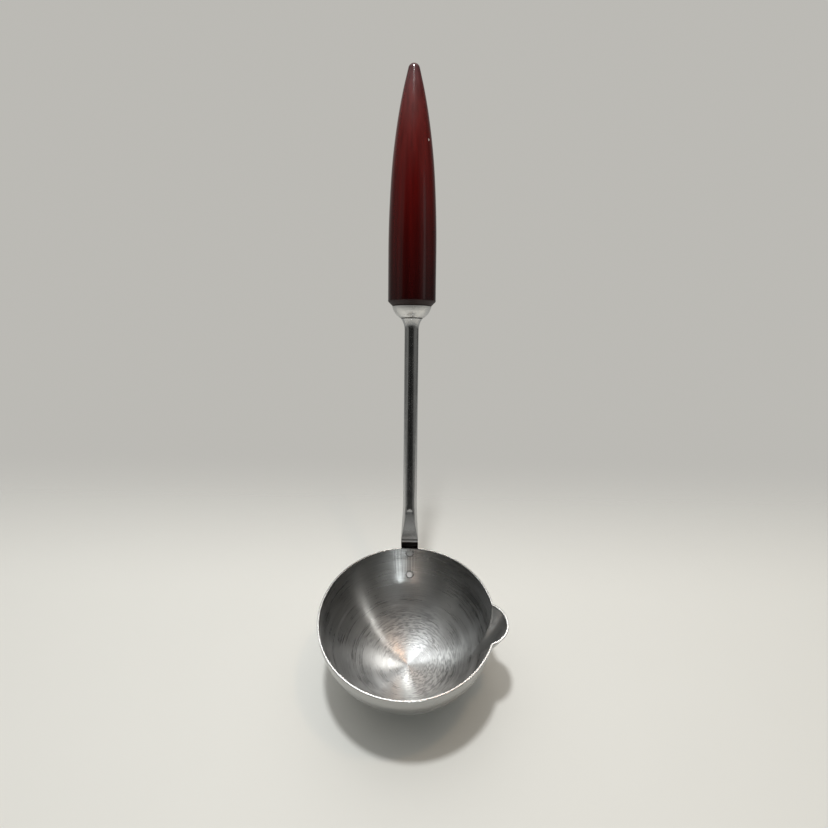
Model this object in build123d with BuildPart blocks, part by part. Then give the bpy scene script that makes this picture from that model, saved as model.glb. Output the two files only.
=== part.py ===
from build123d import *
import os
from math import cos, radians, sin, sqrt

# Pouring ladle. Millimetres, +Z up along the bowl's axis, rim level.
# The origin is the bowl's lowest point, the handle rises behind the bowl (+Y)
# and the pouring lip is on the right (+X).

# ---- bowl ----
bowl_radius = 44.0             # outside of the half-sphere
wall = 1.0                     # sheet thickness of the pressed bowl
rim_round = 0.3                # polished edges of the rim
lip_turn = -5.0                # degrees from +X, the lip sits a little forward of square
lip_reach = 50.2               # bowl axis to the lip's outermost point, at the rim
lip_nose_radius = 12.4         # plan radius of the lip's nose at the rim
lip_foot_radius = 7.0          # plan radius of the channel near its foot
lip_depth = 26.0               # height of the pressed channel below the rim
lip_steepness = 0.45           # 1 is a straight channel, less bulges it outwards
lip_taper = 2.2                # how fast the nose radius runs down to the foot radius
lip_run_out = 6.0              # length of the lip's form hidden inside the sphere
lip_slices = 5
lip_skin = 1.12                # horizontal over normal thickness of the leaning lip
crease_round = 2.0             # outside rounding where the lip leaves the sphere

# ---- stem ----
stem_lean = 30.0               # degrees between the rod and the bowl's axis
strap_width = 9.2
strap_thick = 2.5
strap_foot_angle = 33.0        # degrees below the rim where the round foot is centred
strap_edge_round = 0.4
bend_above_rim = 4.3           # height of the bend over the rim, on the strap's middle
bend_radius = 2.5              # on the strap's middle
rod_radius = 3.75
wedge_start = 1.0              # above the bend
wedge_end = 19.0               # where the flats run out on the round rod
wedge_half_width = 4.75
wedge_half_depth = 3.9
collar_base = 121.0            # bend to the ferrule's underside, along the rod
collar_length = 6.2            # flare that seats the ferrule
collar_radius = 5.6
collar_edge = 0.3
tang_radius = 2.6
tang_in_handle = 55.0          # length of tang inside the handle
tang_chamfer = 0.8

# ---- rivets ----
rivet_radius = 2.0
rivet_angles = {"rivet_upper": 5.2, "rivet_lower": 23.8}   # degrees below the rim
rivet_head_radius = 3.2
rivet_head_height = 1.1
rivet_head_round = 0.8

# ---- ferrule and handle ----
ferrule_height = 6.3
ferrule_bottom_radius = 5.8
ferrule_belly_radius = 9.2     # radius of the cup at half its height
ferrule_top_radius = 10.4
ferrule_wall = 0.8
handle_length = 122.4
handle_radius = 12.65
handle_base_radius = 10.2
handle_chamfer = 2.45
handle_corner_round = 1.0
handle_straight = 28.0         # end of the plain cylinder, above the handle's base
handle_taper = ((12.2, 50.0), (10.15, 80.0), (5.5, 109.4))   # radius, height above the base
tip_radius = 3.1
tip_slope = 13.0               # degrees between the handle's side and its axis at the tip
bore_radius = 3.1
bore_end_gap = 2.0             # bore beyond the tang's end

# ---- places worked out from the above ----
bowl_centre = Vector(0, 0, bowl_radius)
rim_plane = Plane.XY.offset(bowl_radius)
lip_plane = rim_plane.rotated((0, 0, lip_turn))
lip_foot_reach = sqrt(bowl_radius ** 2 - lip_depth ** 2)
strap_radius = bowl_radius + strap_thick       # outside of the strap's foot
strap_foot_drop = bowl_radius * sin(radians(strap_foot_angle / 2)) * 2
lean = radians(stem_lean)
bend_point = Vector(0, bowl_radius + strap_thick / 2, bowl_radius + bend_above_rim)
rod_dir = Vector(0, sin(lean), cos(lean))
rod_axis = Axis(bend_point, rod_dir)
# side view of the rod: x runs backwards from its axis, y runs up it from the bend
rod_side = Plane(origin=bend_point, x_dir=(0, cos(lean), -sin(lean)), z_dir=(1, 0, 0))
handle_base = collar_base + ferrule_height
tang_end = handle_base + tang_in_handle
bore_end = tang_end + bore_end_gap


def across_rod(distance):
    """Plane square to the rod at this distance from the bend, its x along +X."""
    return Plane(origin=bend_point + rod_dir * distance, x_dir=(1, 0, 0), z_dir=rod_dir)


def through_back_wall(angle):
    """Plane through the bowl's centre looking out at the back wall, this far below the rim."""
    down = radians(angle)
    return Plane(origin=bowl_centre, x_dir=(-1, 0, 0), z_dir=(0, cos(down), -sin(down)))


# ---------------------------------------------------------------- bowl
def bowl_form(inset):
    """Solid half-sphere with the lip's bulge, drawn in by the inset."""
    with BuildPart() as form:
        with Locations(bowl_centre):
            Sphere(bowl_radius - inset)
        for slice_number in range(lip_slices):
            drop = (lip_depth + lip_run_out) * slice_number / (lip_slices - 1)
            share = drop / lip_depth
            ridge = share * (lip_steepness + (1 - lip_steepness) * share)
            nose_x = lip_reach - (lip_reach - lip_foot_reach) * ridge
            taper = max(0, 1 - share) ** lip_taper
            radius = lip_foot_radius + (lip_nose_radius - lip_foot_radius) * taper
            with BuildSketch(lip_plane.offset(-drop)):
                with Locations((nose_x - radius, 0)):
                    Circle(radius - inset * lip_skin)
        loft()
        split(bisect_by=rim_plane, keep=Keep.BOTTOM)
        around_sphere = form.faces().filter_by(GeomType.SPHERE).edges()
        crease = around_sphere.filter_by(GeomType.BSPLINE)
        fillet(crease, crease_round + inset)
    return form.part


bowl_outside = bowl_form(0)
bowl_inside = bowl_form(wall)

with BuildPart() as bowl:
    add(bowl_outside)
    add(bowl_inside, mode=Mode.SUBTRACT)
    fillet(bowl.faces().sort_by(Axis.Z)[-1].edges(), rim_round)
    for angle in rivet_angles.values():
        with BuildSketch(through_back_wall(angle)):
            Circle(rivet_radius)
        extrude(amount=strap_radius, mode=Mode.SUBTRACT)
bowl.part.label = "bowl"

# ---------------------------------------------------------------- stem
# foot of the strap, pressed round the outside of the bowl's back wall
with BuildPart() as strap_foot:
    with Locations(bowl_centre):
        Sphere(strap_radius)
        Sphere(bowl_radius, mode=Mode.SUBTRACT)
    with BuildSketch(through_back_wall(strap_foot_angle / 2)):
        with Locations((0, -strap_foot_drop / 2)):
            Circle(strap_width / 2)
        Rectangle(strap_width, strap_foot_drop)
        with Locations((0, strap_foot_drop / 2)):
            Rectangle(strap_width, strap_width)
    extrude(amount=2 * strap_radius, mode=Mode.INTERSECT)
    split(bisect_by=rim_plane, keep=Keep.BOTTOM)
    outer_face = strap_foot.faces().filter_by(GeomType.SPHERE).sort_by(Axis.Y)[-1]
    fillet(outer_face.edges().filter_by(lambda edge: edge.center().Z < bowl_radius), strap_edge_round)

with BuildPart() as stem:
    # rod, flared collar and tang, turned round the rod's axis
    with BuildSketch(rod_side):
        with BuildLine():
            start = Line((0, wedge_end), (rod_radius, wedge_end))
            rod = Line(start @ 1, (rod_radius, collar_base - collar_length))
            flare = TangentArc(rod @ 1, (collar_radius, collar_base - collar_edge), tangent=rod % 1)
            Polyline(
                flare @ 1,
                (collar_radius, collar_base),
                (tang_radius, collar_base),
                (tang_radius, tang_end - tang_chamfer),
                (tang_radius - tang_chamfer, tang_end),
                (0, tang_end),
                start @ 0,
            )
        make_face()
    revolve(axis=rod_axis)
    # the rod widens towards the bend
    with BuildSketch(across_rod(wedge_start)):
        Ellipse(wedge_half_width, wedge_half_depth)
    with BuildSketch(across_rod(wedge_end)):
        Circle(rod_radius)
    loft()
    # a flat forged on its front and its back
    for side in (-1, 1):
        with BuildSketch(rod_side):
            with BuildLine():
                Polyline(
                    (side * strap_thick / 2, wedge_start),
                    (side * rod_radius, wedge_end),
                    (side * 2 * rod_radius, wedge_end),
                    (side * 2 * rod_radius, wedge_start),
                    close=True,
                )
            make_face()
        extrude(amount=strap_width, both=True, mode=Mode.SUBTRACT)
    # strap over the rim and round the bend
    with BuildSketch(Plane.YZ):
        with BuildLine():
            FilletPolyline(
                (bend_point.Y, bowl_radius),
                (bend_point.Y, bend_point.Z),
                (bend_point.Y + 3 * sin(lean), bend_point.Z + 3 * cos(lean)),
                radius=bend_radius,
            )
        trace(line_width=strap_thick)
    extrude(amount=strap_width / 2, both=True)
    add(strap_foot.part)
    for angle in rivet_angles.values():
        with BuildSketch(through_back_wall(angle)):
            Circle(rivet_radius)
        extrude(amount=2 * strap_radius, mode=Mode.SUBTRACT)
stem.part.label = "stem"


# ---------------------------------------------------------------- rivets
def build_rivet(angle):
    """Flush on the inside of the bowl, low domed head on the outside of the strap."""
    outwards = Axis(bowl_centre, through_back_wall(angle).z_dir)
    with BuildPart() as rivet:
        with BuildSketch(through_back_wall(angle).offset(bowl_radius)):
            Circle(rivet_head_radius)
        extrude(amount=strap_thick + rivet_head_height)
        fillet(rivet.faces().sort_by(outwards)[-1].edges(), rivet_head_round)
        with Locations(bowl_centre):
            Sphere(strap_radius, mode=Mode.SUBTRACT)
        with BuildSketch(through_back_wall(angle)):
            Circle(rivet_radius)
        extrude(amount=strap_radius)
        with Locations(bowl_centre):
            Sphere(bowl_radius - wall, mode=Mode.SUBTRACT)
    return rivet


rivet_upper = build_rivet(rivet_angles["rivet_upper"])
rivet_upper.part.label = "rivet_upper"
rivet_lower = build_rivet(rivet_angles["rivet_lower"])
rivet_lower.part.label = "rivet_lower"

# ---------------------------------------------------------------- ferrule
with BuildPart() as ferrule:
    with BuildSketch(rod_side):
        with BuildLine():
            cup = ThreePointArc(
                (ferrule_bottom_radius, collar_base),
                (ferrule_belly_radius, collar_base + ferrule_height / 2),
                (ferrule_top_radius, handle_base),
            )
            Polyline(cup @ 1, (0, handle_base), (0, collar_base), cup @ 0)
        make_face()
    revolve(axis=rod_axis)
    mouth = ferrule.faces().sort_by(rod_axis)[-1]
    offset(amount=-ferrule_wall, openings=mouth)
    with BuildSketch(across_rod(collar_base)):
        Circle(tang_radius)
    extrude(amount=ferrule_height, mode=Mode.SUBTRACT)
ferrule.part.label = "ferrule"

# ---------------------------------------------------------------- handle
tip = radians(tip_slope)
tip_start = handle_base + handle_length - tip_radius * (1 - sin(tip))
with BuildPart() as handle:
    with BuildSketch(rod_side):
        with BuildLine():
            base = Polyline(
                (0, handle_base),
                (handle_base_radius, handle_base),
                (handle_radius, handle_base + handle_chamfer),
                (handle_radius, handle_base + handle_straight),
            )
            point = Spline(
                base @ 1,
                *[(radius, handle_base + height) for radius, height in handle_taper],
                (tip_radius * cos(tip), tip_start),
                tangents=((0, 1), (-sin(tip), cos(tip))),
            )
            dome = TangentArc(point @ 1, (0, handle_base + handle_length), tangent=point % 1)
            Line(dome @ 1, base @ 0)
        make_face()
    revolve(axis=rod_axis)
    chamfer_top = handle.edges().filter_by(GeomType.CIRCLE).sort_by(rod_axis)[1]
    fillet(chamfer_top, handle_corner_round)
    with BuildSketch(across_rod(handle_base)):
        Circle(bore_radius)
    extrude(amount=tang_in_handle + bore_end_gap, mode=Mode.SUBTRACT)
handle.part.label = "handle"

# ---------------------------------------------------------------- cement round the tang
with BuildPart() as tang_cement:
    with BuildSketch(across_rod(handle_base)):
        Circle(bore_radius)
    extrude(amount=tang_in_handle + bore_end_gap)
    add(stem.part, mode=Mode.SUBTRACT)
tang_cement.part.label = "tang_cement"

# ---------------------------------------------------------------- files
os.makedirs("parts", exist_ok=True)
export_step(bowl.part, "parts/bowl.step")
export_step(stem.part, "parts/stem.step")
export_step(rivet_upper.part, "parts/rivet_upper.step")
export_step(rivet_lower.part, "parts/rivet_lower.step")
export_step(ferrule.part, "parts/ferrule.step")
export_step(handle.part, "parts/handle.step")
export_step(tang_cement.part, "parts/tang_cement.step")
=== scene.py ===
import math

import bmesh
import bpy
from mathutils import Matrix, Vector


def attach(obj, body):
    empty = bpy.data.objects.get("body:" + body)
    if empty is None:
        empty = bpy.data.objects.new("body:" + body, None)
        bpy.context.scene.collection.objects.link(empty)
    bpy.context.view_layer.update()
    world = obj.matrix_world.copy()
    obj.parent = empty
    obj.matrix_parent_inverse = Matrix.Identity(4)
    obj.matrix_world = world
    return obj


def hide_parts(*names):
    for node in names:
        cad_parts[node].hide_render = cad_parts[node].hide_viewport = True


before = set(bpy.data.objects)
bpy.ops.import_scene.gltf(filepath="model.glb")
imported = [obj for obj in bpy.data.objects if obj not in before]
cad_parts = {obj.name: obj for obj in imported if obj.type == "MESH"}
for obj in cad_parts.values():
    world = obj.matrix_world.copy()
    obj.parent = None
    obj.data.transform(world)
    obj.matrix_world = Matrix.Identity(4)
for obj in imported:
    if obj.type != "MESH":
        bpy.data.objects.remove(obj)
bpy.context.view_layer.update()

# ---------------------------------------------------------------- sizes, in metres
# The bowl's lowest point is the origin. The handle leans back, to +Y, and the lip is at +X.
BOWL_R = 0.044
WALL = 0.001
RIM_ROUND = 0.0003
LIP_TURN = math.radians(-5)
LIP_REACH = 0.0502
LIP_NOSE_R = 0.0124
LIP_FOOT_R = 0.007
LIP_DEPTH = 0.026
LIP_STEEPNESS = 0.45
LIP_TAPER = 2.2
LIP_SKIN = 1.12                # level over square thickness of the leaning lip
CREASE = 0.0006                # softness of the crease on the outside

LEAN = math.radians(30)
STRAP_HALF = 0.0046
STRAP_THICK = 0.0025
FOOT_ANGLE = math.radians(33)
BEND_Z = 0.0483
BEND_R = 0.0025
ROD_R = 0.00375
WEDGE_START = 0.001
WEDGE_END = 0.019
WEDGE_HALF_WIDTH = 0.00475
WEDGE_HALF_DEPTH = 0.0039
FLAT_LOW = 0.0045              # half width of the pressed flat at its two ends
FLAT_HIGH = 0.0014
FLAT_FADE = 0.1                # share of the wedge on which the flat closes
COLLAR_BASE = 0.121
COLLAR_LENGTH = 0.0062
COLLAR_R = 0.0056
COLLAR_EDGE = 0.0003
COLLAR_CHAMFER = 0.0001
TANG_R = 0.0026
TANG_END = 0.1823
TANG_CHAMFER = 0.0008
STEM_EDGE = 0.0003             # worn edges of the strap and the wedge

RIVET_R = 0.002
RIVET_FACE_R = 0.00172         # the end that is flush with the bowl's inside
RIVET_EDGE = ((0.00182, 0.00008), (RIVET_R, 0.0006))    # radius, height over that inside
RIVET_HEAD_R = 0.0032
RIVET_HEAD_DOME = 0.001
RIVET_CLEARANCE = 0.00018
RIVET_ANGLES = {"rivet_upper": math.radians(5.2), "rivet_lower": math.radians(23.8)}

FERRULE_H = 0.0063
FERRULE_WALL = 0.0008
FERRULE_BORE_R = 0.00262
FERRULE_RADII = (0.0058, 0.0092, 0.0104)                # at the bottom, half way and the top

HANDLE_BASE = COLLAR_BASE + FERRULE_H
HANDLE_LENGTH = 0.1224
HANDLE_R = 0.01265
HANDLE_BASE_R = 0.0102
HANDLE_CHAMFER = 0.00245
HANDLE_SIDE = ((HANDLE_R, 0.028), (0.0122, 0.050), (0.01015, 0.080), (0.0055, 0.1094))
TIP_R = 0.0031
TIP_SLOPE = math.radians(13)
BORE_R = 0.0031
BORE_DEPTH = 0.057
PALE_SPOT = (0.0078, 0.1455, 0.2333)                         # a small pale spot in the red, near the tip

CENTRE = Vector((0, 0, BOWL_R))
INSIDE_R = BOWL_R - WALL
STRAP_MID = BOWL_R + STRAP_THICK / 2
STRAP_BACK = BOWL_R + STRAP_THICK
BEND = Vector((0, STRAP_MID, BEND_Z))
ROD = Vector((0, math.sin(LEAN), math.cos(LEAN)))
BACK = Vector((0, math.cos(LEAN), -math.sin(LEAN)))     # square to the rod, backwards
SIDE = Vector((1, 0, 0))


# ---------------------------------------------------------------- mesh helpers
def skin(name, rings, finish_of=None):
    """Closed mesh through rings of points. A ring of one point closes an end."""
    bm = bmesh.new()
    uv_layer = bm.loops.layers.uv.new("grain")
    rows = [[bm.verts.new(point) for point in ring] for ring in rings]
    along = [0.0]
    for low, high in zip(rings, rings[1:]):
        along.append(along[-1] + (Vector(high[0]) - Vector(low[0])).length)

    def face(row, column, corners):
        made = bm.faces.new([vert for vert, _, _ in corners])
        made.material_index = finish_of(row, column) if finish_of else 0
        for loop, (_, u, v) in zip(made.loops, corners):
            loop[uv_layer].uv = (u, v)
        made.smooth = True

    for row in range(len(rows) - 1):
        low, high = rows[row], rows[row + 1]
        v_low, v_high = along[row], along[row + 1]
        count = max(len(low), len(high))
        for i in range(count):
            j = (i + 1) % count
            u, u_next = i / count, (i + 1) / count
            if len(low) == 1:
                face(row, i, [(low[0], u, v_low), (high[j], u_next, v_high), (high[i], u, v_high)])
            elif len(high) == 1:
                face(row, i, [(low[i], u, v_low), (low[j], u_next, v_low), (high[0], u, v_high)])
            else:
                face(row, i, [
                    (low[i], u, v_low),
                    (low[j], u_next, v_low),
                    (high[j], u_next, v_high),
                    (high[i], u, v_high),
                ])
    for ring in (rows[0], rows[-1]):
        if len(ring) > 1:
            bm.faces.new(ring)
    bmesh.ops.recalc_face_normals(bm, faces=bm.faces)
    mesh = bpy.data.meshes.new(name)
    bm.to_mesh(mesh)
    bm.free()
    piece = bpy.data.objects.new(name, mesh)
    bpy.context.scene.collection.objects.link(piece)
    return piece


def lathe(name, profile, origin, axis, count):
    """Solid turned round an axis. The profile is a list of (radius, height)."""
    over = axis.cross(SIDE)
    rings = []
    for radius, height in profile:
        middle = origin + axis * height
        if radius == 0:
            rings.append([middle])
            continue
        ring = []
        for i in range(count):
            turn = 2 * math.pi * i / count
            ring.append(middle + (SIDE * math.cos(turn) + over * math.sin(turn)) * radius)
        rings.append(ring)
    return skin(name, rings)


def rounded(corners, steps=5):
    """Points along a polyline whose corners (x, y, radius) are rounded off."""
    points = []
    for i, (x, y, radius) in enumerate(corners):
        here = Vector((x, y))
        if radius == 0 or i in (0, len(corners) - 1):
            points.append((x, y))
            continue
        before = (Vector(corners[i - 1][:2]) - here).normalized()
        after = (Vector(corners[i + 1][:2]) - here).normalized()
        half = before.angle(after) / 2
        start = here + before * (radius / math.tan(half))
        middle = here + (before + after).normalized() * (radius / math.sin(half))
        end = here + after * (radius / math.tan(half))
        first, last = (start - middle).normalized(), (end - middle).normalized()
        for step in range(steps + 1):
            points.append(tuple(middle + first.slerp(last, step / steps) * radius))
    return points


def from_the_ball(angle):
    """Direction from the bowl's centre to its back, this far below the rim."""
    return Vector((0, math.cos(angle), -math.sin(angle)))


def drilled(piece, angles, radius):
    """The piece with a round hole through it at each angle below the rim, at the back."""
    start, end = BOWL_R - 0.009, BOWL_R + 0.011
    for angle in angles:
        ends = [(0, start), (radius, start), (radius, end), (0, end)]
        drill = lathe("drill", ends, CENTRE, from_the_ball(angle), 40)
        hole = piece.modifiers.new("hole", "BOOLEAN")
        hole.operation = "DIFFERENCE"
        hole.solver = "EXACT"
        hole.object = drill
        graph = bpy.context.evaluated_depsgraph_get()
        mesh = bpy.data.meshes.new_from_object(piece.evaluated_get(graph))
        mesh.name = piece.name
        piece.modifiers.clear()
        piece.data = mesh
        bpy.data.objects.remove(drill)


def finished(piece, materials, node, holes=()):
    """The piece gets its finishes, its holes and its sharp edges, and stands for its CAD node."""
    for material in materials:
        piece.data.materials.append(material)
    drilled(piece, holes, RIVET_R + RIVET_CLEARANCE)
    piece.data.set_sharp_from_angle(angle=math.radians(34))
    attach(piece, "root")
    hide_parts(node)


# ---------------------------------------------------------------- bowl
def ball_reach(drop, inset):
    """Bowl's axis to the half-sphere, this far below the rim."""
    return math.sqrt(max((BOWL_R - inset) ** 2 - drop ** 2, 0))


def lip_reach(turn, drop, inset):
    """Bowl's axis to the lip's form, this far round from the lip, or 0 where it has none."""
    share = drop / LIP_DEPTH
    ridge = share * (LIP_STEEPNESS + (1 - LIP_STEEPNESS) * share) + 3 * max(share - 1, 0) ** 2
    nose = LIP_REACH - (LIP_REACH - ball_reach(LIP_DEPTH, 0)) * ridge
    nose_radius = LIP_FOOT_R + (LIP_NOSE_R - LIP_FOOT_R) * max(0, 1 - share) ** LIP_TAPER
    middle = nose - nose_radius
    radius = nose_radius - inset * LIP_SKIN
    aside = abs(middle * math.sin(turn))
    if middle <= 0 or math.cos(turn) <= 0 or aside >= radius:
        return 0
    return middle * math.cos(turn) + math.sqrt(radius ** 2 - aside ** 2)


def wall_reach(turn, drop, inset):
    """Bowl's axis to its wall, with the crease round the lip softened."""
    ball, horn = ball_reach(drop, inset), lip_reach(turn, drop, inset)
    soft = CREASE + 0.4 * inset
    near = max(soft - abs(ball - horn), 0) / soft
    return max(ball, horn) + near ** 2 * soft / 4


def bowl_ring(inset, drop, lift=0.0):
    ring = []
    for turn in bowl_turns:
        reach = wall_reach(turn, drop, inset)
        place = turn + LIP_TURN
        ring.append((reach * math.cos(place), reach * math.sin(place), BOWL_R - drop + lift))
    return ring


# directions round the bowl, close together at the lip, and angles below the rim
bowl_turns = [math.radians(0.5 * i) for i in range(-38, 39)]
bowl_turns += [math.radians(19 + 3.02 * i) for i in range(1, 107)]
below_rim = [math.radians(0.6 * i) for i in range(1, 76)]
below_rim += [math.radians(45 + 1.5 * i) for i in range(1, 30)]
rim_turns = [math.radians(15 * i) for i in range(7)]

bowl_rings = [[(0, 0, 0)]]
for angle in reversed(below_rim):
    bowl_rings.append(bowl_ring(0, BOWL_R * math.sin(angle)))
RIM_ROW = len(bowl_rings)
for turn in rim_turns:
    inset = RIM_ROUND * (1 - math.cos(turn))
    bowl_rings.append(bowl_ring(inset, 0, -RIM_ROUND * (1 - math.sin(turn))))
for turn in rim_turns:
    inset = WALL - RIM_ROUND * (1 - math.sin(turn))
    bowl_rings.append(bowl_ring(inset, 0, -RIM_ROUND * (1 - math.cos(turn))))
INSIDE_ROW = len(bowl_rings) - 1
for angle in below_rim:
    bowl_rings.append(bowl_ring(WALL, INSIDE_R * math.sin(angle)))
bowl_rings.append([(0, 0, WALL)])


def bowl_finish(row, column):
    """0 outside, 1 inside, 2 on the rim and 3 inside the pressed lip."""
    if row < RIM_ROW:
        return 0
    if row < INSIDE_ROW:
        return 2
    if row >= len(bowl_rings) - 2:
        return 1
    drop = INSIDE_R * math.sin(below_rim[row - INSIDE_ROW])
    return 3 if lip_reach(bowl_turns[column], drop, WALL) > ball_reach(drop, WALL) else 1


bowl = skin("bowl_shell", bowl_rings, bowl_finish)

# ---------------------------------------------------------------- stem
FLAT_POINTS = 4
SIDE_POINTS = 17
END_STEPS, FOOT_STEPS, BEND_STEPS, WEDGE_STEPS, ROD_STEPS, FLARE_STEPS = 12, 16, 8, 36, 24, 10


def stem_section(half_width, half_depth, half_flat, boxed=0.0):
    """Round or oval section with a flat on its front and back, as (across, back) pairs."""
    corner = math.asin(min(half_flat / half_depth, math.sin(math.radians(80))))
    right = []
    for i in range(SIDE_POINTS):
        turn = corner * (2 * i / (SIDE_POINTS - 1) - 1)
        across = half_width * (math.cos(turn) * (1 - boxed) + boxed)
        right.append((across, half_depth * math.sin(turn)))
    reach = right[-1][0]
    front = []
    for i in range(1, FLAT_POINTS + 1):
        across = reach * (1 - 2 * i / (FLAT_POINTS + 1))
        oval = half_depth * math.sqrt(1 - (across / half_width) ** 2)
        front.append((across, min(half_flat, oval)))
    left = [(-across, back) for across, back in reversed(right)]
    behind = [(across, -back) for across, back in reversed(front)]
    return right + front + left + behind


def stem_ring(middle, back, section):
    return [middle + SIDE * across + back * depth for across, depth in section]


strap_section = stem_section(STRAP_HALF, WEDGE_HALF_DEPTH, STRAP_THICK / 2, 1.0)


def foot_ring(angle, squeeze, curl=1.0):
    """Ring of the foot of the strap, which is pressed round the ball of the bowl."""
    out = from_the_ball(angle)
    ring = []
    for across, depth in strap_section:
        ball = STRAP_MID + depth
        across *= squeeze
        sunk = (ball - math.sqrt(ball ** 2 - across ** 2)) * curl
        ring.append(CENTRE + SIDE * across + out * (ball - sunk))
    return ring


def wedge_ring(share):
    """Ring of the wedge, this share of the way from the bend to the round rod."""
    half_width = WEDGE_HALF_WIDTH + (ROD_R - WEDGE_HALF_WIDTH) * share
    half_depth = WEDGE_HALF_DEPTH + (ROD_R - WEDGE_HALF_DEPTH) * share
    flat_width = FLAT_LOW + (FLAT_HIGH - FLAT_LOW) * share
    flat_width *= min(1, (1 - share) / FLAT_FADE)
    flat = half_depth * math.sqrt(1 - (flat_width / half_width) ** 2)
    middle = BEND + ROD * (WEDGE_START + (WEDGE_END - WEDGE_START) * share)
    return stem_ring(middle, BACK, stem_section(half_width, half_depth, flat))


def rod_profile():
    """(height, radius) up the bare rod, the flared collar and the tang."""
    bare = COLLAR_BASE - COLLAR_LENGTH - WEDGE_END - COLLAR_CHAMFER
    profile = [(WEDGE_END + bare * i / ROD_STEPS, ROD_R) for i in range(1, ROD_STEPS + 1)]
    rise = COLLAR_LENGTH - COLLAR_EDGE
    out = COLLAR_R - ROD_R
    flare_radius = (rise ** 2 + out ** 2) / (2 * out)
    for i in range(1, FLARE_STEPS + 1):
        turn = math.asin(rise / flare_radius) * i / FLARE_STEPS
        height = COLLAR_BASE - COLLAR_LENGTH + flare_radius * math.sin(turn)
        profile.append((height, ROD_R + flare_radius * (1 - math.cos(turn))))
    profile += [(COLLAR_BASE, COLLAR_R - COLLAR_CHAMFER), (COLLAR_BASE, TANG_R)]
    profile += [(TANG_END - TANG_CHAMFER, TANG_R), (TANG_END, TANG_R - TANG_CHAMFER)]
    return profile


stem_rings = []
for step in range(END_STEPS):
    turn = math.radians(86 - 86 * step / END_STEPS)
    angle = FOOT_ANGLE + STRAP_HALF * math.sin(turn) / STRAP_MID
    stem_rings.append(foot_ring(angle, math.cos(turn)))
for step in range(FOOT_STEPS + 1):
    angle = FOOT_ANGLE * (1 - step / FOOT_STEPS)
    stem_rings.append(foot_ring(angle, 1.0, min(1.0, 4 * angle / FOOT_ANGLE)))
bend_centre = Vector((0, STRAP_MID + BEND_R, BEND_Z - BEND_R * math.tan(LEAN / 2)))
for step in range(BEND_STEPS + 1):
    out = from_the_ball(LEAN * step / BEND_STEPS)
    stem_rings.append(stem_ring(bend_centre - out * BEND_R, out, strap_section))
for step in range(WEDGE_STEPS + 1):
    stem_rings.append(wedge_ring(step / WEDGE_STEPS))
for height, radius in rod_profile():
    stem_rings.append(stem_ring(BEND + ROD * height, BACK, stem_section(radius, radius, radius)))
stem = skin("stem_rod", stem_rings)


# ---------------------------------------------------------------- rivets
def rivet_profile():
    """Flush dished end inside the bowl, shank, and a low domed head behind the strap."""
    profile = [(0, INSIDE_R)]
    for i in range(1, 7):
        radius = RIVET_FACE_R * i / 6
        profile.append((radius, math.sqrt(INSIDE_R ** 2 - radius ** 2)))
    profile += [(radius, INSIDE_R + height) for radius, height in RIVET_EDGE]
    profile += [
        (RIVET_R, STRAP_BACK - 0.00004),
        (RIVET_HEAD_R - 0.0001, STRAP_BACK - 0.0001),
        (RIVET_HEAD_R, STRAP_BACK),
    ]
    dome_base = STRAP_BACK + 0.0001
    for i in range(8):
        turn = math.radians(90 * i / 8)
        height = dome_base + RIVET_HEAD_DOME * math.sin(turn)
        profile.append((RIVET_HEAD_R * math.cos(turn), height))
    return profile + [(0, dome_base + RIVET_HEAD_DOME)]


rivets = {
    name: lathe(name + "_head", rivet_profile(), CENTRE, from_the_ball(angle), 48)
    for name, angle in RIVET_ANGLES.items()
}


# ---------------------------------------------------------------- ferrule
def circle_through(first, second, third):
    """Centre and radius of the circle through three points."""
    ax, ay = first
    bx, by = second
    cx, cy = third
    scale = 2 * (ax * (by - cy) + bx * (cy - ay) + cx * (ay - by))
    a, b, c = ax * ax + ay * ay, bx * bx + by * by, cx * cx + cy * cy
    x = (a * (by - cy) + b * (cy - ay) + c * (ay - by)) / scale
    y = (a * (cx - bx) + b * (ax - cx) + c * (bx - ax)) / scale
    return (x, y), math.hypot(ax - x, ay - y)


cup_points = [(radius, FERRULE_H * i / 2) for i, radius in enumerate(FERRULE_RADII)]
(cup_x, cup_y), cup_radius = circle_through(*cup_points)
cup_from, _, cup_to = [math.atan2(y - cup_y, x - cup_x) for x, y in cup_points]


def cup(radius, lowest):
    """Arc of the ferrule's side, from the height given up to its top."""
    points = []
    for i in range(17):
        turn = cup_from + (cup_to - cup_from) * i / 16
        height = cup_y + radius * math.sin(turn)
        if height >= lowest:
            points.append((cup_x + radius * math.cos(turn), height))
    return points


def ferrule_profile():
    """Cup with a flat bottom, its top edge slightly broken and its inside hollow."""
    inside = cup(cup_radius - FERRULE_WALL, FERRULE_WALL + 0.0001)
    inside[-1] = (inside[-1][0], FERRULE_H)
    top = FERRULE_RADII[2]
    profile = [(FERRULE_BORE_R, 0), (FERRULE_RADII[0] - 0.0002, 0)] + cup(cup_radius, 0)[:-1]
    profile += [(top, FERRULE_H - 0.00012), (top - 0.0001, FERRULE_H)]
    return profile + inside[::-1] + [(FERRULE_BORE_R, FERRULE_WALL), (FERRULE_BORE_R, 0)]


ferrule = lathe("ferrule_cup", ferrule_profile(), BEND + ROD * COLLAR_BASE, ROD, 96)

# ---------------------------------------------------------------- handle
tip_height = HANDLE_LENGTH - TIP_R * (1 - math.sin(TIP_SLOPE))
side_points = HANDLE_SIDE + ((TIP_R * math.cos(TIP_SLOPE), tip_height),)


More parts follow.
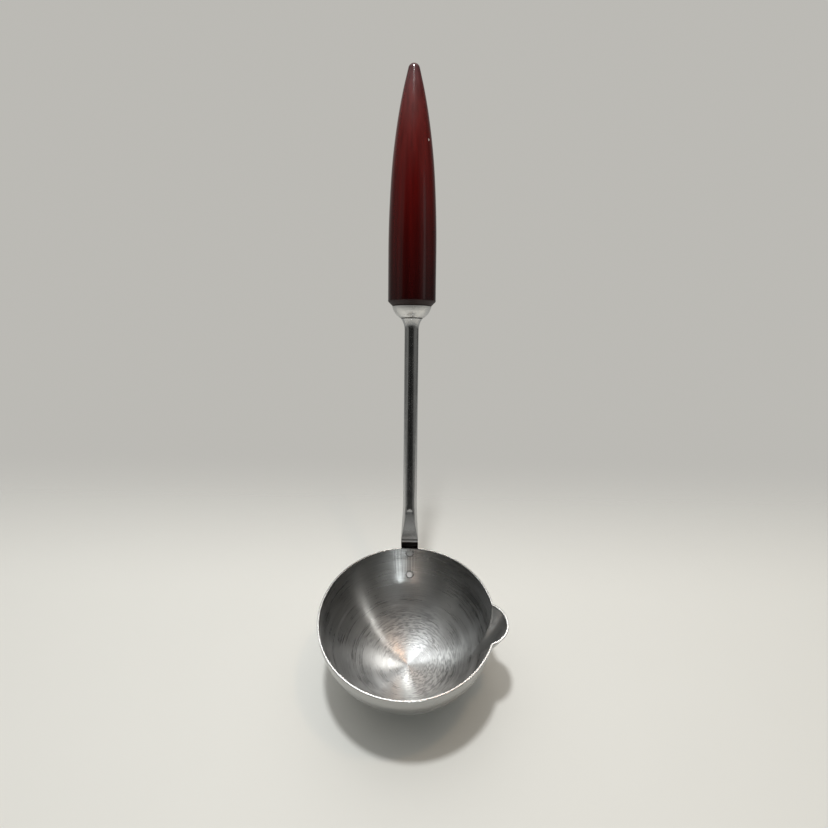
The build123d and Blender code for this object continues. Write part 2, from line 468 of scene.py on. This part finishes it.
def side_slopes():
    """Change of radius with height at each of the side's points."""
    slopes = [0.0]
    for below, here, above in zip(side_points, side_points[1:], side_points[2:]):
        low, high = here[1] - below[1], above[1] - here[1]
        fall_low = (here[0] - below[0]) / low
        fall_high = (above[0] - here[0]) / high
        slopes.append((fall_low * high + fall_high * low) / (low + high))
    return slopes + [-math.tan(TIP_SLOPE)]


def handle_side(steps=10):
    """Smooth curve through the side's points."""
    slopes = side_slopes()
    points = []
    for i in range(len(side_points) - 1):
        (r0, h0), (r1, h1) = side_points[i], side_points[i + 1]
        length = h1 - h0
        for step in range(steps):
            t = step / steps
            radius = (1 + 2 * t) * (1 - t) ** 2 * r0 + t * t * (3 - 2 * t) * r1
            radius += t * (1 - t) ** 2 * length * slopes[i] - t * t * (1 - t) * length * slopes[i + 1]
            points.append((radius, h0 + length * t))
    return points


def handle_profile():
    """Bore, flat base with a rounded chamfer, straight side, ogive and round tip."""
    straight = [(HANDLE_R, 0.006 + 0.0055 * i) for i in range(4)]
    base = rounded([
        (BORE_R, 0, 0),
        (HANDLE_BASE_R, 0, 0.0003),
        (HANDLE_R, HANDLE_CHAMFER, 0.001),
        (HANDLE_R, 0.014, 0),
    ])
    profile = [(0, BORE_DEPTH), (BORE_R, BORE_DEPTH)] + base[:-1] + straight + handle_side()
    for i in range(8):
        turn = TIP_SLOPE + (math.pi / 2 - TIP_SLOPE) * i / 8
        height = HANDLE_LENGTH - TIP_R + TIP_R * math.sin(turn)
        profile.append((TIP_R * math.cos(turn), height))
    return profile + [(0, HANDLE_LENGTH)]


handle = lathe("handle_grip", handle_profile(), BEND + ROD * HANDLE_BASE, ROD, 128)


# ---------------------------------------------------------------- materials
def grey(level, red=1.0, green=1.0, blue=1.0):
    """Colour of this brightness, tinted where a factor is given."""
    return (level * red, level * green, level * blue, 1)


class Nodes:
    """Adds nodes to a node tree, each linked as it is made."""

    def __init__(self, tree):
        self.tree = tree

    def add(self, kind, links=None, **settings):
        made = self.tree.nodes.new(kind)
        for name, value in settings.items():
            setattr(made, name, value)
        for socket, value in (links or {}).items():
            self.plug(value, made.inputs[socket])
        return made

    def plug(self, value, socket):
        if isinstance(value, bpy.types.NodeSocket):
            self.tree.links.new(value, socket)
        else:
            socket.default_value = value

    def math(self, operation, first, second=0.0, clamp=False):
        node = self.add("ShaderNodeMath", {0: first, 1: second}, operation=operation)
        node.use_clamp = clamp
        return node.outputs[0]

    def spread(self, value, low, high, to_low, to_high, curve="LINEAR"):
        """The value's range turned into another range, and kept inside it."""
        links = {"Value": value, "From Min": low, "From Max": high, "To Min": to_low, "To Max": to_high}
        return self.add("ShaderNodeMapRange", links, interpolation_type=curve).outputs[0]

    def split(self, vector):
        return self.add("ShaderNodeSeparateXYZ", {0: vector}).outputs

    def distance(self, first, second):
        node = self.add("ShaderNodeVectorMath", {0: first, 1: second}, operation="DISTANCE")
        return node.outputs["Value"]

    def mix(self, amount, first, second, blend="MIX"):
        node = self.add("ShaderNodeMix", {0: amount}, data_type="RGBA", blend_type=blend)
        self.plug(first, node.inputs[6])
        self.plug(second, node.inputs[7])
        return node.outputs[2]

    def ramp(self, value, stops):
        """Colour ramp with these (position, red, green, blue) stops."""
        node = self.add("ShaderNodeValToRGB", {0: value})
        elements = node.color_ramp.elements
        while len(elements) < len(stops):
            elements.new(0.5)
        for element, (position, *colour) in zip(elements, stops):
            element.position = position
            element.color = (*colour, 1)
        return node.outputs[0]


class Finish(Nodes):
    """A node material in the making."""

    def __init__(self, name, **settings):
        self.material = bpy.data.materials.new(name)
        self.material.use_nodes = True
        super().__init__(self.material.node_tree)
        self.shader = self.tree.nodes["Principled BSDF"]
        for socket, value in settings.items():
            self.shader.inputs[socket.replace("_", " ")].default_value = value
        self.place = self.add("ShaderNodeTexCoord").outputs["Object"]

    def noise(self, where, scale, detail=3.0, roughness=0.5):
        links = {"Vector": where, "Scale": scale, "Detail": detail, "Roughness": roughness}
        return self.add("ShaderNodeTexNoise", links).outputs[0]

    def stretched(self, where, x, y, z):
        links = {"Vector": where, "Scale": (x, y, z)}
        return self.add("ShaderNodeMapping", links).outputs[0]

    def feed(self, socket, value):
        self.tree.links.new(value, self.shader.inputs[socket])

    def bump(self, height, strength, distance=0.00003, onto=None):
        links = {"Height": height, "Strength": strength, "Distance": distance}
        if onto is not None:
            links["Normal"] = onto
        return self.add("ShaderNodeBump", links).outputs[0]

    def along_rod(self):
        """Position measured from the bend, with z up the rod."""
        links = {"Vector": self.place, "Location": BEND, "Rotation": (-LEAN, 0, 0)}
        return self.add("ShaderNodeMapping", links, vector_type="TEXTURE").outputs[0]


def painted_upright_reflections(steel, heading, depth):
    """Painted reflections: light and dark upright stripes beside the fixings, on the back wall near the
    rim.
    """
    x, y, _ = steel.split(heading)
    marks = steel.noise(steel.stretched(heading, 55, 0, 0), 1.0, 2.0)
    aside = steel.math("ABSOLUTE", steel.math("ADD", x, 0.06))
    near = steel.spread(aside, 0.10, 0.17, 1.0, 0.0)
    marks = steel.math("MULTIPLY", steel.spread(marks, 0.4, 0.6, -0.9, 0.9), near)
    marks = steel.math("MULTIPLY", marks, steel.spread(y, 0.0, 0.1, 0.0, 1.0))
    return steel.math("MULTIPLY", marks, steel.spread(depth, 0.25, 0.5, 1.0, 0.0))


def spun_steel(name, anisotropic, rough, tones, relief):
    """Satin steel spun on a lathe, with rings of fine grooves and loose scratches."""
    steel = Finish(name, Metallic=1.0, Anisotropic=anisotropic, Anisotropic_Rotation=0.25)
    x, y, z = steel.split(steel.place)
    flat = steel.add("ShaderNodeCombineXYZ", {"X": x, "Y": y}).outputs[0]
    reach = steel.add("ShaderNodeVectorMath", {0: flat}, operation="LENGTH").outputs["Value"]
    depth = steel.math("ARCTAN2", steel.math("SUBTRACT", BOWL_R, z), reach)
    heading = steel.add("ShaderNodeVectorMath", {0: flat}, operation="NORMALIZE").outputs[0]
    ahead, aside, _ = steel.split(heading)
    grain = steel.add("ShaderNodeCombineXYZ", {"X": ahead, "Y": aside, "Z": depth}).outputs[0]

    grooves = steel.noise(steel.stretched(grain, 1.5, 1.5, 160), 1.0, 6.0, 0.7)
    bands = steel.noise(steel.stretched(grain, 0.6, 0.6, 14), 1.0)
    arcs = steel.noise(steel.stretched(grain, 6, 6, 62), 1.0, 3.0, 0.6)
    scratches = steel.noise(steel.stretched(steel.place, 2600, 240, 900), 1.0, 2.0)
    blotches = steel.noise(steel.place, 60, 4.0, 0.6)
    worn = steel.spread(steel.noise(steel.place, 70, 2.0), 0.45, 0.6, 0.0, 1.0)
    worn = steel.math("MULTIPLY", worn, steel.spread(reach, 0.022, 0.032, 1.0, 0.15))

    roughness = steel.spread(bands, 0.3, 0.7, *rough)
    roughness = steel.math("ADD", roughness, steel.spread(grooves, 0.3, 0.7, -0.05, 0.05))
    roughness = steel.math("ADD", roughness, steel.spread(blotches, 0.3, 0.7, -0.03, 0.05))
    steel.feed("Roughness", roughness)

    etched = steel.math("MULTIPLY", steel.spread(arcs, 0.42, 0.58, -0.5, 0.5), worn)
    tone = steel.math("ADD", steel.spread(grooves, 0.3, 0.7, 0.25, 0.75), etched, True)
    # painted reflections: upright stripes on the back wall near the rim
    tone = steel.math("ADD", tone, painted_upright_reflections(steel, heading, depth), True)
    dark, light = tones
    steel.feed("Base Color", steel.mix(tone, grey(dark, blue=0.99), grey(light, blue=0.98)))

    normal = steel.bump(grooves, relief)
    normal = steel.bump(steel.math("MULTIPLY", arcs, worn), relief, 0.00008, normal)
    steel.feed("Normal", steel.bump(scratches, 0.1 * relief, onto=normal))
    tangent = steel.add("ShaderNodeTangent", direction_type="UV_MAP", uv_map="grain")
    steel.feed("Tangent", tangent.outputs[0])
    return steel.material


def polished_rim():
    """The cut edge of the sheet, polished bright in front, with painted shade making it dark at the
    back.
    """
    steel = Finish("polished_rim", Metallic=1.0)
    nicks = steel.noise(steel.place, 1500, 4.0, 0.6)
    steel.feed("Roughness", steel.spread(nicks, 0.3, 0.7, 0.18, 0.34))
    bright = steel.mix(nicks, (0.36, 0.36, 0.35, 1), (0.50, 0.50, 0.49, 1))
    # painted shade: the rim is made dark towards the back
    painted_back_shade = steel.spread(steel.split(steel.place)["Y"], -0.01, 0.03, 0.0, 1.0)
    steel.feed("Base Color", steel.mix(painted_back_shade, bright, (0.11, 0.11, 0.105, 1)))
    steel.feed("Normal", steel.bump(nicks, 0.3))
    return steel.material


def drawn_steel():
    """Polished rod with faint marks along its length, and painted shade above the rim: darker just
    above the rim, fading up the wedge, and nearly black on the strap's front face.
    """
    steel = Finish("drawn_steel", Metallic=1.0)
    rod = steel.along_rod()
    marks = steel.noise(steel.stretched(rod, 1800, 1800, 40), 1.0, 4.0, 0.6)
    blotches = steel.noise(rod, 160, 4.0, 0.6)
    rough = steel.spread(marks, 0.3, 0.7, 0.12, 0.24)
    steel.feed("Roughness", steel.math("ADD", rough, steel.spread(blotches, 0.4, 0.7, 0.0, 0.08)))
    clean = steel.mix(blotches, (0.50, 0.50, 0.51, 1), (0.60, 0.60, 0.60, 1))
    height = steel.split(rod)["Z"]
    seam = steel.spread(height, COLLAR_BASE - 0.0003, COLLAR_BASE - 0.00015, 0.0, 0.95)
    clean = steel.mix(seam, clean, (0.02, 0.02, 0.018, 1))
    _, y, z = steel.split(steel.place)
    above = steel.spread(z, BOWL_R - 0.0006, BOWL_R, 0.0, 1.0)
    # painted shade: just above the rim the stem is darkened, fading out up the wedge
    painted_wedge_shade = steel.math("MULTIPLY", steel.spread(z, BOWL_R + 0.006, BOWL_R + 0.018, 0.45, 0.0), above)
    clean = steel.mix(painted_wedge_shade, clean, (0.20, 0.20, 0.19, 1))
    # painted dark reflection: the strap's front face between the rim and the bend is made nearly black
    low = steel.spread(z, BOWL_R + 0.0040, BOWL_R + 0.0046, 1.0, 0.0)
    front = steel.spread(y, BOWL_R + 0.0006, BOWL_R + 0.0012, 1.0, 0.0)
    painted_dark_reflection = steel.math("MULTIPLY", steel.math("MULTIPLY", low, front), above)
    steel.feed("Base Color", steel.mix(painted_dark_reflection, clean, (0.02, 0.019, 0.018, 1)))
    steel.feed("Normal", steel.bump(marks, 0.3))
    return steel.material


def rivet_steel():
    """Satin steel with fine marks."""
    steel = Finish("rivet_steel", Metallic=1.0)
    marks = steel.noise(steel.place, 1400, 4.0, 0.6)
    steel.feed("Roughness", steel.spread(marks, 0.3, 0.7, 0.36, 0.5))
    steel.feed("Base Color", steel.mix(marks, (0.48, 0.47, 0.46, 1), (0.62, 0.62, 0.62, 1)))
    steel.feed("Normal", steel.bump(marks, 0.3, 0.00004))
    return steel.material


def satin_ferrule():
    """Worn bright plating with turning rings, and a dark seam at each end."""
    metal = Finish("satin_ferrule", Metallic=1.0)
    rod = metal.along_rod()
    smudges = metal.noise(rod, 420, 4.0, 0.6)
    rings = metal.noise(metal.stretched(rod, 60, 60, 5200), 1.0)
    rough = metal.spread(rings, 0.3, 0.7, 0.26, 0.36)
    metal.feed("Roughness", metal.math("ADD", rough, metal.spread(smudges, 0.4, 0.7, 0.0, 0.1)))
    clean = metal.mix(smudges, (0.62, 0.61, 0.60, 1), (0.82, 0.82, 0.81, 1))
    height = metal.split(rod)["Z"]
    low_seam = metal.spread(height, COLLAR_BASE + 0.00012, COLLAR_BASE + 0.00028, 0.95, 0.0)
    top_seam = metal.spread(height, HANDLE_BASE - 0.0003, HANDLE_BASE - 0.00015, 0.0, 0.95)
    seams = metal.math("MAXIMUM", low_seam, top_seam)
    metal.feed("Base Color", metal.mix(seams, clean, (0.02, 0.018, 0.016, 1)))
    metal.feed("Normal", metal.bump(rings, 0.25))
    return metal.material


def red_plastic():
    """Deep glossy red with painted light, dark at the base and paler towards the tip, slightly mottled,
    with handling marks.
    """
    red = Finish("red_plastic", IOR=1.44)
    rod = red.along_rod()
    cloud = red.noise(red.stretched(rod, 120, 120, 30), 1.0, 4.0, 0.6)
    streaks = red.noise(red.stretched(rod, 420, 420, 9), 1.0, 2.0)
    wear = red.noise(rod, 900, 5.0, 0.65)
    height = red.split(rod)["Z"]
    share = red.spread(height, HANDLE_BASE, HANDLE_BASE + HANDLE_LENGTH, 0, 1)
    # painted light: the ramp makes the red nearly black at the base and brightens it towards the tip
    body = red.ramp(share, (
        (0.0, 0.022, 0.0022, 0.0022),
        (0.3, 0.062, 0.0028, 0.0025),
        (0.5, 0.098, 0.0040, 0.0036),
        (0.7, 0.122, 0.0095, 0.0080),
        (0.86, 0.130, 0.0220, 0.0210),
        (1.0, 0.085, 0.0280, 0.0320),
    ))
    shade = red.spread(streaks, 0.3, 0.7, 0.0, 0.55)
    shade = red.math("ADD", shade, red.spread(cloud, 0.3, 0.7, 0.0, 0.2))
    shaded = red.mix(shade, body, red.mix(1.0, body, (0.35, 0.2, 0.2, 1), "MULTIPLY"))
    ragged = red.spread(wear, 0.3, 0.7, -0.0004, 0.0004)
    from_pale_spot = red.math("ADD", red.distance(red.place, PALE_SPOT), ragged)
    pale_spot = red.spread(from_pale_spot, 0.0004, 0.0007, 0.85, 0.0)
    red.feed("Base Color", red.mix(pale_spot, shaded, (0.62, 0.55, 0.52, 1)))
    rough = red.spread(wear, 0.35, 0.7, 0.10, 0.2)
    rough = red.math("ADD", rough, red.spread(cloud, 0.3, 0.7, -0.03, 0.03))
    chamfer_end = HANDLE_BASE + HANDLE_CHAMFER
    chamfer = red.spread(height, chamfer_end + 0.00005, chamfer_end + 0.00045, 0.35, 0.0)
    red.feed("Roughness", red.math("ADD", rough, chamfer))
    red.feed("Normal", red.bump(wear, 0.08))
    return red.material


def cement():
    """Gritty grey filler."""
    filler = Finish("cement")
    grit = filler.noise(filler.place, 2500, 4.0, 0.6)
    filler.feed("Base Color", filler.mix(grit, (0.28, 0.27, 0.25, 1), (0.5, 0.48, 0.45, 1)))
    filler.feed("Roughness", filler.spread(grit, 0.3, 0.7, 0.75, 0.95))
    filler.feed("Normal", filler.bump(grit, 0.4, 0.0001))
    return filler.material


bowl_finishes = [
    spun_steel("spun_outside", anisotropic=0.6, rough=(0.20, 0.26), tones=(0.36, 0.45), relief=0.2),
    spun_steel("spun_inside", anisotropic=0.9, rough=(0.26, 0.33), tones=(0.25, 0.50), relief=0.6),
    polished_rim(),
    spun_steel("pressed_lip", anisotropic=0.3, rough=(0.42, 0.48), tones=(0.30, 0.38), relief=0.15),
]
finished(bowl, bowl_finishes, "bowl", RIVET_ANGLES.values())
finished(stem, [drawn_steel()], "stem", RIVET_ANGLES.values())
bevel = stem.modifiers.new("worn_edges", "BEVEL")
bevel.width = STEM_EDGE
bevel.segments = 3
bevel.limit_method = "ANGLE"
bevel.angle_limit = math.radians(38)
bevel.harden_normals = True
rivet_finish = rivet_steel()
for name, rivet in rivets.items():
    finished(rivet, [rivet_finish], name)
finished(ferrule, [satin_ferrule()], "ferrule")
finished(handle, [red_plastic()], "handle")
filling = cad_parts["tang_cement"]
filling.data.materials.clear()
filling.data.materials.append(cement())


# ---------------------------------------------------------------- floor
def pale_floor():
    """Pale floor under the bowl, which fades out into the backdrop all round and behind."""
    pale = Finish("pale_floor", Roughness=0.6)
    mottle = pale.noise(pale.place, 25, 4.0, 0.6)
    pale.feed("Base Color", pale.mix(mottle, (0.785, 0.785, 0.745, 1), (0.80, 0.80, 0.76, 1)))
    far = pale.spread(pale.distance(pale.place, (0, -0.1, 0)), 0.25, 0.8, 0, 1, "SMOOTHSTEP")
    behind = pale.spread(pale.split(pale.place)["Y"], 0.04, 0.18, 0, 1, "SMOOTHSTEP")
    gone = pale.math("MAXIMUM", far, behind)
    clear = pale.add("ShaderNodeBsdfTransparent").outputs[0]
    blend = pale.add("ShaderNodeMixShader", {0: gone, 1: pale.shader.outputs[0], 2: clear})
    pale.plug(blend.outputs[0], pale.tree.nodes["Material Output"].inputs["Surface"])
    return pale.material


floor_mesh = bpy.data.meshes.new("floor")
floor_bm = bmesh.new()
bmesh.ops.create_circle(floor_bm, cap_ends=True, segments=96, radius=1)
floor_bm.to_mesh(floor_mesh)
floor_bm.free()
floor_mesh.materials.append(pale_floor())
floor = bpy.data.objects.new("floor", floor_mesh)
bpy.context.scene.collection.objects.link(floor)

# ---------------------------------------------------------------- world
BACKDROP = (0.50, 0.49, 0.46, 1)
# brightness round the room by heading in degrees: 0 is towards the camera, rising towards +X
ROOM = (
    (-180, 0.50), (-140, 0.30), (-115, 0.14), (-84, 0.20), (-81, 0.08), (-78, 0.24), (-54, 0.20),
    (-50, 0.03), (-8, 0.012), (-6, 0.035), (-4, 0.012), (35, 0.03), (45, 0.08), (47, 0.03),
    (50, 0.16), (90, 0.18), (115, 0.07), (140, 0.14), (180, 0.50),
)
# brightness of the ceiling and the table, by the cosine of the angle from their middles
CEILING_TOWARDS = (-0.08, 0.42, 0.90)
CEILING = ((0.40, 0.0), (0.60, 0.16), (0.72, 0.50), (0.85, 0.80), (1.0, 1.0))
TABLE_TOWARDS = (0, -0.28, -0.96)
TABLE = ((0.12, 0.0), (0.28, 0.42))

world = bpy.data.worlds.new("studio")
bpy.context.scene.world = world
world.use_nodes = True
world.node_tree.nodes.clear()
sky = Nodes(world.node_tree)
towards = sky.add("ShaderNodeTexCoord").outputs["Generated"]


def facing(direction):
    """Cosine of the angle between what is looked at and this direction."""
    aim = Vector(direction).normalized()
    dot = sky.add("ShaderNodeVectorMath", {0: towards, 1: aim}, operation="DOT_PRODUCT")
    return dot.outputs["Value"]


def tinted(levels, green, blue):
    return [(place, level, green * level, blue * level) for place, level in levels]


x, y, _ = sky.split(towards)
heading = sky.math("ARCTAN2", x, sky.math("MULTIPLY", y, -1.0))
walls = sky.ramp(
    sky.spread(heading, -math.pi, math.pi, 0, 1),
    tinted([((degrees + 180) / 360, level) for degrees, level in ROOM], 1, 0.94),
)
ceiling = sky.ramp(facing(CEILING_TOWARDS), tinted(CEILING, 0.985, 0.95))
table = sky.ramp(facing(TABLE_TOWARDS), tinted(TABLE, 1, 0.40 / 0.42))
room = sky.mix(1.0, sky.mix(1.0, walls, ceiling, "LIGHTEN"), table, "LIGHTEN")
seen = sky.add("ShaderNodeLightPath").outputs["Is Camera Ray"]
glow = sky.add("ShaderNodeBackground", {"Color": sky.mix(seen, room, BACKDROP), "Strength": 1.0})
sky.add("ShaderNodeOutputWorld", {0: glow.outputs[0]})

# ---------------------------------------------------------------- lights
KEY_DISTANCE, KEY_SIZE, STREAK_DISTANCE = 0.8, 0.07, 1.3
# the lamps that light the floor: name, direction from the bowl, power, colour
KEYS = (
    ("key", (-0.055, 0.075, 1), 3.4, (0.98, 0.99, 1.0)),
    ("warm_key", (0.28, 0.05, 0.95), 0.44, (1.0, 0.70, 0.42)),
)
# lamps seen only in reflections: name, direction from the bowl, size, power, colour
STREAKS = (
    ("upright_streak", (-0.12, 0.30, 0.95), 0.34, 2.6, (0.94, 0.98, 1.0)),
    ("warm_streak", (0.12, 0.30, 0.95), 0.16, 1.2, (1.0, 0.66, 0.46)),
)
# the same, seen only in the bowl, where the grooves draw each lamp out into a streak or a fan
FANS = (
    ("left_fan", (0.36, 0.525, 0.77), 0.45, 2.7, (1.0, 0.98, 0.95)),
    ("right_fan", (-0.60, 0.50, 0.62), 0.40, 1.4, (0.96, 1.0, 1.0)),
    ("upper_right_fan", (-0.38, 0.40, 0.83), 0.30, 1.3, (0.94, 0.97, 1.0)),
    ("slanting_streak", (0.45, 0.109, 0.89), 0.05, 0.4, (1.0, 0.98, 0.94)),
    ("slanting_streak_mid", (0.66, -0.114, 0.72), 0.05, 0.4, (1.0, 0.98, 0.94)),
    ("slanting_streak_far", (0.80, -0.30, 0.47), 0.05, 0.5, (1.0, 0.98, 0.94)),
    ("back_right_fan", (-0.21, 0.28, 0.94), 0.10, 0.7, (0.90, 0.94, 1.0)),
    ("front_left_fan", (0.05, 0.72, 0.69), 0.10, 1.6, (0.96, 0.98, 1.0)),
    ("front_streak", (-0.072, 0.74, 0.67), 0.06, 2.0, (1.0, 1.0, 0.96)),
    ("front_orange", (-0.011, 0.74, 0.67), 0.05, 0.7, (1.0, 0.72, 0.58)),
    ("back_streak", (0.17, -0.955, 0.24), 0.06, 2.3, (0.92, 0.98, 1.0)),
    ("back_streak_mid", (0.168, -0.968, 0.14), 0.06, 2.0, (0.92, 0.98, 1.0)),
    ("back_streak_low", (0.165, -0.975, 0.06), 0.06, 3.0, (0.92, 0.98, 1.0)),
    ("brown_streak", (-0.12, -0.96, 0.25), 0.06, 0.6, (1.0, 0.82, 0.72)),
)
# the same, seen only in the handle
SHEENS = (
    ("tip_glint", (0.01, 0.16, 1.22), 0.10, 18.0, (1, 1, 1)),
    ("sheen_low", (1.135, -0.50, 0.30), 0.30, 0.09, (1, 1, 1)),
    ("sheen_middle", (1.135, -0.35, 0.557), 0.30, 0.09, (1, 1, 1)),
    ("sheen_high", (1.10, -0.20, 0.80), 0.30, 0.09, (1, 1, 1)),
)


def softbox(name, direction, distance, size, power, colour):
    """Round lamp this far from the bowl's centre, turned towards it."""
    light = bpy.data.lights.new(name, "AREA")
    light.shape = "DISK"
    light.size = size
    light.energy = power
    light.color = colour
    lamp = bpy.data.objects.new(name, light)
    aim = Vector(direction).normalized()
    lamp.location = CENTRE + aim * distance
    lamp.rotation_mode = "QUATERNION"
    lamp.rotation_quaternion = aim.to_track_quat("Z", "Y")
    bpy.context.scene.collection.objects.link(lamp)
    return lamp


def group(name, pieces):
    """Collection that light linking uses."""
    made = bpy.data.collections.new(name)
    for piece in pieces:
        made.objects.link(piece)
    return made


shading = group("shading_the_floor", (bowl, stem))
for name, direction, power, colour in KEYS:
    key = softbox(name, direction, KEY_DISTANCE, KEY_SIZE, power, colour)
    key.visible_glossy = False
    key.light_linking.blocker_collection = shading
for lamps, receivers in (
    (STREAKS, None),
    (FANS, group("lit_by_fans", (bowl, *rivets.values()))),
    (SHEENS, group("lit_by_sheens", (handle,))),
):
    for name, direction, size, power, colour in lamps:
        lamp = softbox(name, direction, STREAK_DISTANCE, size, power, colour)
        lamp.visible_diffuse = False
        lamp.light_linking.receiver_collection = receivers

# ---------------------------------------------------------------- camera
CAMERA_AT = (0.00946, -0.1817, 0.2972)
PITCH, YAW, ROLL = math.radians(35.70), math.radians(-1.69), math.radians(-0.26)
LENS_MM = 26.0

look = Vector((
    math.sin(YAW) * math.cos(PITCH),
    math.cos(YAW) * math.cos(PITCH),
    -math.sin(PITCH),
))
level = Vector((math.cos(YAW), -math.sin(YAW), 0))
over = level.cross(look)
right = level * math.cos(ROLL) + over * math.sin(ROLL)
up = over * math.cos(ROLL) - level * math.sin(ROLL)
lens = bpy.data.cameras.new("camera")
lens.lens = LENS_MM
lens.sensor_width = 36.0
camera = bpy.data.objects.new("camera", lens)
turned = Matrix((right, up, -look)).transposed().to_4x4()
camera.matrix_world = Matrix.Translation(CAMERA_AT) @ turned
bpy.context.scene.collection.objects.link(camera)
bpy.context.scene.camera = camera

view = bpy.context.scene.view_settings
view.view_transform = "Standard"
view.look = "None"
